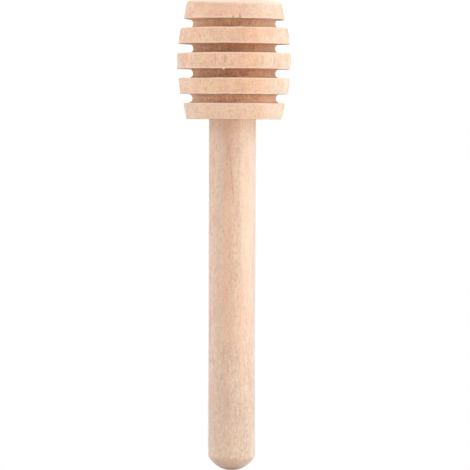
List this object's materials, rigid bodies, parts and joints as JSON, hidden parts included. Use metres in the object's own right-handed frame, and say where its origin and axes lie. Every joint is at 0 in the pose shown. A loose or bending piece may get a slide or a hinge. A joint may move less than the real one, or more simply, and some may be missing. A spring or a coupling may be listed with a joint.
{
  "type": "honey dipper",
  "caption": "Small turned wooden honey dipper: a barrel head with round-bottomed grooves that hold honey, glued on a plain round stick with a domed end.",
  "frame": {"origin": "centre of the head's flat end face, which is the face that the dipper stands on", "axes": "+Z along the dipper's axis, from the head's flat end to the stick's domed tip; X and Y are equal, because the part is round"},
  "size_m": [0.0194, 0.0194, 0.08],
  "materials": {
    "head_wood": "bare pale hardwood, turned and left unsanded in the grooves",
    "stick_wood": "bare pale hardwood dowel, lightly sanded",
    "glue": "cured wood glue"
  },
  "bodies": {
    "root": {"head": "head_wood", "stick": "stick_wood", "glue_film": "glue"}
  },
  "joints": []
}
